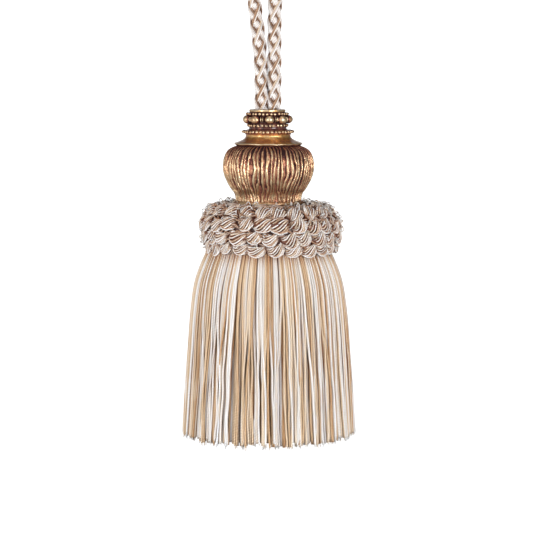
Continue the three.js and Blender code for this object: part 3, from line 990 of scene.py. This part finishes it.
def add_puffs(shape, skin, numbers, random):
    """Adds the rows of puffs with these numbers."""
    yarns = []
    tones = []
    cores = []
    for number in numbers:
        row = RUFF_ROWS[number]
        for place in range(row.count):
            jitter = ROW_JITTER * random.uniform(-1, 1)
            angle = (place + ROW_STAGGER * number + jitter) * TURN / row.count
            yarns_of_puff, core = puff(skin, row, angle, random)
            yarns += yarns_of_puff
            cores.append(core)
            first = random.integers(len(RUFF_TONES))
            picked = [RUFF_TONES[(first + yarn) % len(RUFF_TONES)] for yarn in range(1, BIGHTS)]
            tones += [RIM_TONE, *picked]
    paths, ways, painted_shades = (np.array(column) for column in zip(*yarns))
    is_rim = np.tile([1.0] + [0.0] * (BIGHTS - 1), len(cores))[:, None]
    flecks = FLECK * random.uniform(-1, 1, (len(tones), BIGHT_STEPS)) * (1 - 0.7 * is_rim)
    tone = np.array(tones)[:, None] + flecks
    size = BIGHT_RADIUS * random.uniform(*BIGHT_SIZES, (len(tones), 1))
    size = size * (1 + (RIM_SIZE - 1) * is_rim)
    painted_edge_shade = INNER_FLANK_SHADE + (RIM_FLANK_SHADE - INNER_FLANK_SHADE) * is_rim
    tubes(shape, paths, size, ring_section(5), tone, painted_shades, BIGHT_TURNS, ways, painted_edge_shade)
    lines, girths = (np.array(column) for column in zip(*cores))
    tubes(shape, lines, girths, ring_section(6), CORE_TONE, CORE_PAINTED_SHADE)


def add_short_yarns(shape, skin, random):
    """Adds the filling and the loose loops."""
    section = ring_section(4)
    lines = filling(skin, random)
    tone = random.uniform(*FILLING["tones"], (FILLING["count"], 1))
    looks = (tone, FILLING["depth"], BIGHT_TURNS, lines * [1, 1, 0], FILLING["painted_edge_shade"])
    tubes(shape, lines, FILLING["radius"], section, *looks)
    lines = stray_loops(skin, random)
    tone = random.uniform(*STRAYS["tones"], (STRAYS["count"], 1))
    tubes(shape, lines, STRAYS["radius"], section, tone, STRAYS["depth"])


def make_ruff():
    skin = Skin(RUFF_OUTLINE)
    make_ruff_bed(skin)
    random = np.random.default_rng(51)
    for part, numbers in enumerate(np.split(np.arange(len(RUFF_ROWS)), 2)):
        shape = Shape()
        add_puffs(shape, skin, numbers, random)
        if part == 0:
            add_short_yarns(shape, skin, random)
        shape.piece(f"ruff_bights_{part}", ruff_yarn, "ruff_yarn")


make_ruff()


# ---- The skirt ----

# The outside [radius, below] of the hanging fringe.
SKIRT_OUTLINE = [
    (22.3, -50.4), (23.3, -53.0), (25.2, -57.2), (27.4, -63.8), (28.7, -72.8),
    (30.0, -90.7), (31.95, -120.0),
]
STRAND_RADIUS = 0.42
STRAND_TURNS = 1 / 2.0  # turns of its two plies to a millimetre
# From the outside in: how many strands, and each one's steps and sides, then its radius over
# STRAND_RADIUS, how far in it hangs, how much it wanders, how much painted shade it gets, and
# how much browner its yarn is painted, as shade in the gaps.
Layer = namedtuple("Layer", "strands steps sides thickness inset wander depth browner")
LAYERS = [
    Layer(222, 80, 6, 1.0, 0.0, 1.0, 0.0, 0.0),
    Layer(186, 40, 5, 1.25, 0.7, 0.7, 0.12, 0.06),
    Layer(132, 24, 5, 2.0, 1.6, 0.15, 0.2, 0.16),
]
LAYER_SEED = 61
WANDERERS = 0.26  # share of the strands that cross over their neighbours
BEHIND_PAINTED_SHADE = 0.2  # how much painted shade a strand gets that lies behind its neighbours
OUTER_PIECES = 2  # that the outer layer is written in
STRAND_JITTER = 0.3  # of the space between two strands
# How far strands sway in wide groups and in narrow ones, how far each leans, how much
# further a wanderer does, and how far each waves.
SWAY = {"wide": 1.1, "narrow": 0.6, "lean": 0.7, "cross": 2.6, "wave": 0.25}
# How far strands stand in or out, each by itself and in groups, and a wanderer out.
STAND = {"each": 0.3, "group": 0.25, "cross": 0.5}
FREE = (-53.0, -108.0)  # the strands come free of one another between these heights
LOW = (-80.0, -115.0)  # their painted shade, and that on their flanks, grows less between these
THIN = (-70.0, -115.0)  # and each gets a little thinner between these
RUFF_SHADE = 0.35  # how much painted shadow of the ruff they get as they come out from under it
END_DROP = 0.2  # the middle of the cut ends is this much below the solid's hem
END_UNEVEN = 0.9
END_TAPER = 0.85
SIDE_TRIM = 1.1  # the hem is cut this much shorter at the two sides
FRAY = {"fibres": 4, "length": 1.1, "radius": 0.075, "spread": 0.45, "curl": 0.3, "roots": 0.3}
SKIRT_TONES = (0.9, 0.34, 0.84, 0.2, 0.5, 0.88, 0.28, 0.56, 0.8, 0.4, 0.95, 0.5)
HEADING = {"first": 9.9, "last": 21.6, "turns": 12, "below": -53.4, "radius": 0.56}


def skirt_paths(layer, seed):
    """Centre lines of one layer of strands, which wander more towards the cut ends, and how
    much painted shade each gets along it where it lies behind its neighbours."""
    random = np.random.default_rng(seed)
    count = layer.strands
    outline = spline(SKIRT_OUTLINE)
    share = np.linspace(0, 1, layer.steps)[None]
    first = outline[0, 1]
    even = np.arange(count)[:, None] / count
    last = HEM - END_DROP + END_UNEVEN * random.uniform(-1, 1, (count, 1))
    last = last + SIDE_TRIM * np.cos(even * TURN) ** 4
    below = first + (last - first) * share
    radius = np.interp(-below, -outline[:, 1], outline[:, 0]) - STRAND_RADIUS - layer.inset
    free = smoothstep(*FREE, below)
    u = even + STRAND_JITTER * random.uniform(-1, 1, (count, 1)) / count
    group = SWAY["wide"] * noise(u, 0 * share, 24, 1, seed + 10)
    group = group + SWAY["narrow"] * noise(u, share, 60, 3, seed + 11)
    crosses = random.uniform(0, 1, (count, 1)) < WANDERERS
    lean = (SWAY["lean"] + SWAY["cross"] * crosses) * random.uniform(-1, 1, (count, 1))
    wave = SWAY["wave"] * noise(even, share, count, 8, seed + 20)
    shift = layer.wander * (group * free + lean * free**1.5 + wave * (0.3 + free))
    stand = STAND["each"] * random.uniform(-1, 1, (count, 1)) * (0.5 + 0.5 * free)
    stand = stand + STAND["cross"] * crosses * free
    stand = stand + STAND["group"] * noise(u, share, count // 3, 5, seed + 30) * free
    angle = u * TURN + shift / radius
    radius = radius + stand
    paths = about_z(radius, angle, HEAD_TOP + below)
    return paths, BEHIND_PAINTED_SHADE * smoothstep(0.2, -0.5, stand)


def skirt_tones(count, seed):
    """Tones in blocks that each hold every cone's yarn once, in a new order."""
    random = np.random.default_rng(seed)
    blocks = [random.permutation(SKIRT_TONES) for _ in range(count // len(SKIRT_TONES) + 1)]
    tones = np.concatenate(blocks)[:count]
    return (tones + 0.05 * random.uniform(-1, 1, count))[:, None]


def fray(shape, paths, tone, random):
    """Loose fibres at the cut end of each strand."""
    each = FRAY["fibres"]
    ends = np.repeat(paths[:, -1], each, 0)
    run = unit(paths[:, -1] - paths[:, -4])
    count = len(ends)
    ways = unit(np.repeat(run, each, 0) + FRAY["spread"] * random.uniform(-1, 1, (count, 3)))
    curl = FRAY["curl"] * random.uniform(-1, 1, (count, 3))
    length = FRAY["length"] * random.uniform(0.4, 1.2, (count, 1))
    roots = ends + FRAY["roots"] * random.uniform(-1, 1, (count, 3))
    steps = [roots + ways * length * t + curl * t * t for t in (-0.3, 0.3, 0.7, 1.0)]
    fibres = np.stack(steps, 1)
    tubes(shape, fibres, FRAY["radius"], ring_section(3), np.repeat(tone, each, 0))


def make_skirt():
    random = np.random.default_rng(71)
    for order, layer in enumerate(LAYERS):
        count = layer.strands
        paths, painted_behind_shade = skirt_paths(layer, LAYER_SEED + order)
        # The inner layers' yarn is painted browner, as the shade in the gaps.
        tone = skirt_tones(count, LAYER_SEED + 40 + order) * (1 - layer.browner)
        below = paths[..., 2] - HEAD_TOP
        low = smoothstep(*LOW, below)
        # Painted shade by layer, less towards the hem, and more where a strand lies behind its
        # neighbours.
        depth = layer.depth * (1 - 0.6 * low) + painted_behind_shade
        # Painted shadow of the ruff where the strands come out from under it.
        depth = depth + RUFF_SHADE * smoothstep(-58, -52, below)
        size = STRAND_RADIUS * layer.thickness * random.uniform(0.88, 1.15, (count, 1))
        size = size * (1 - 0.06 * smoothstep(*THIN, below))
        # Painted shade on the flanks, less towards the hem.
        painted_edge_shade = random.uniform(0.6, 1.0, (count, 1)) * (1 - 0.4 * low)
        ways = paths * [1, 1, 0]
        section = ring_section(layer.sides)
        outer = order == 0
        parts = np.array_split(np.arange(len(paths)), OUTER_PIECES if outer else 1)
        for number, part in enumerate(parts):
            shape = Shape()
            lines = paths[part]
            looks = (tone[part], depth[part], STRAND_TURNS, ways[part], painted_edge_shade[part], END_TAPER)
            tubes(shape, lines, size[part], section, *looks)
            if outer:
                fray(shape, lines, tone[part], random)
            nodes = ["skirt"] if outer and number == 0 else []
            shape.piece(f"skirt_layer_{order}_{number}", skirt_yarn, "skirt_yarn", *nodes)


def make_heading():
    """The wound top of the fringe, seen only from underneath."""
    radius = np.linspace(HEADING["first"], HEADING["last"], HEADING["turns"])[:, None]
    angle = np.linspace(0, TURN, 73)[None]
    rings = about_z(radius, angle + 0 * radius, HEAD_TOP + HEADING["below"])
    shape = Shape()
    tone = skirt_tones(len(rings), 81)
    # The heading gets a little painted shade.
    tubes(shape, rings, HEADING["radius"], ring_section(6), tone, 0.1, STRAND_TURNS, taper=1.0)
    shape.piece("skirt_heading", skirt_yarn, "skirt_yarn")


make_skirt()
make_heading()


# ---- Floor, light and world ----

FLOOR_DROP = 260.0  # the floor is this far below the cut ends
SWEEP = {"half_width": 5000.0, "front": -4000.0, "bend": 1600.0, "radius": 900.0, "top": 3200.0}
SWEEP_GLOW = 1.0


def make_floor():
    """A pale floor that sweeps up into the backdrop, as in a product studio."""
    floor_height = HEAD_TOP + HEM - FLOOR_DROP
    turn = np.linspace(0, math.pi / 2, 13)
    bend_y = SWEEP["bend"] + SWEEP["radius"] * np.sin(turn)
    bend_z = floor_height + SWEEP["radius"] * (1 - np.cos(turn))
    y = np.concatenate([[SWEEP["front"]], bend_y, bend_y[-1:]]) * MM
    z = np.concatenate([[floor_height], bend_z, [SWEEP["top"]]]) * MM
    half = SWEEP["half_width"] * MM
    rows = len(y)
    corners = [(x, y[i], z[i]) for x in (-half, half) for i in range(rows)]
    faces = [(i, i + rows, i + rows + 1, i + 1) for i in range(rows - 1)]
    mesh = bpy.data.meshes.new("floor")
    mesh.from_pydata(corners, [], faces)
    mesh.polygons.foreach_set("use_smooth", [True] * len(faces))
    n = Nodes(bpy.data.materials.new("floor"))
    place = n.node("ShaderNodeTexCoord").outputs["Object"]
    stops = [(0.3, linear(246, 246, 246)), (0.7, linear(250, 250, 250))]
    pale = n.finish(
        Base_Color=n.ramp(n.noise(place, 3.0), stops),
        Roughness=0.9,
        Emission_Color=(1.0, 1.0, 1.0, 1.0),
        Emission_Strength=SWEEP_GLOW,
    )
    mesh.materials.append(pale)
    floor = put_in_scene("floor", mesh)
    floor.visible_diffuse = False
    floor.visible_glossy = False


# Soft boxes: name, azimuth (0 is on the camera's side, and 90 to its right), elevation,
# distance, width and height, and watts.
LIGHTS = [
    ("key", 34, 2, 1100, (380, 700), 10.4),
    ("fill", -42, 4, 1200, (420, 700), 6.7),
    ("top", 10, 65, 1500, (700, 700), 4.0),
]
# Bounce cards at the two sides, that do not show in the gilding.
CARDS = [
    ("card_right", 80, 4, 1100, (400, 700), 4.8),
    ("card_left", -80, 4, 1100, (400, 700), 7.4),
]
# The studio's walls: (place, brightness) from straight down to straight up, how much of that
# they have on the left and on the right, and what is added straight behind the tassel.
WORLD_LEVELS = [(0.35, 0.80), (0.52, 0.66), (0.72, 0.16)]
WORLD_LEFT = 0.9
WORLD_RIGHT = 0.3
WORLD_BEHIND = 0.75


def make_lights():
    middle = np.array([0.0, 0.0, HEAD_TOP - 45.0])
    for row in LIGHTS + CARDS:
        name, azimuth, elevation, distance, size, watts = row
        azimuth, elevation = math.radians(azimuth), math.radians(elevation)
        data = bpy.data.lights.new(name, "AREA")
        data.shape = "RECTANGLE"
        data.size, data.size_y = (side * MM for side in size)
        data.energy = watts
        light = put_in_scene(name, data)
        level = math.cos(elevation)
        away = (math.sin(azimuth) * level, -math.cos(azimuth) * level, math.sin(elevation))
        light.location = (middle + np.array(away) * distance) * MM
        light.rotation_euler = (math.radians(90) - elevation, 0, azimuth)
        light.visible_glossy = row in LIGHTS


def make_world():
    world = bpy.data.worlds.new("studio")
    n = Nodes(world)
    way = n.node("ShaderNodeTexCoord").outputs["Generated"]
    parts = n.node("ShaderNodeSeparateXYZ", {"Vector": way})
    up = n.span(parts.outputs["Z"], -1.0, 1.0, 0.0, 1.0)
    level = n.ramp(up, [(place, (glow, glow, glow, 1.0)) for place, glow in WORLD_LEVELS])
    across = n.span(parts.outputs["X"], -0.8, 0.8, WORLD_LEFT, WORLD_RIGHT)
    walls = n.times(level, across)
    glow = n.add(walls, n.span(parts.outputs["Y"], 0.85, 1.0, 0.0, WORLD_BEHIND))
    background = n.tree.nodes["Background"]
    n.put(background.inputs["Strength"], glow)
    n.put(background.inputs["Color"], (1.0, 1.0, 1.0, 1.0))
    bpy.context.scene.world = world


make_floor()
make_lights()
make_world()
bpy.context.scene.view_settings.view_transform = "Standard"
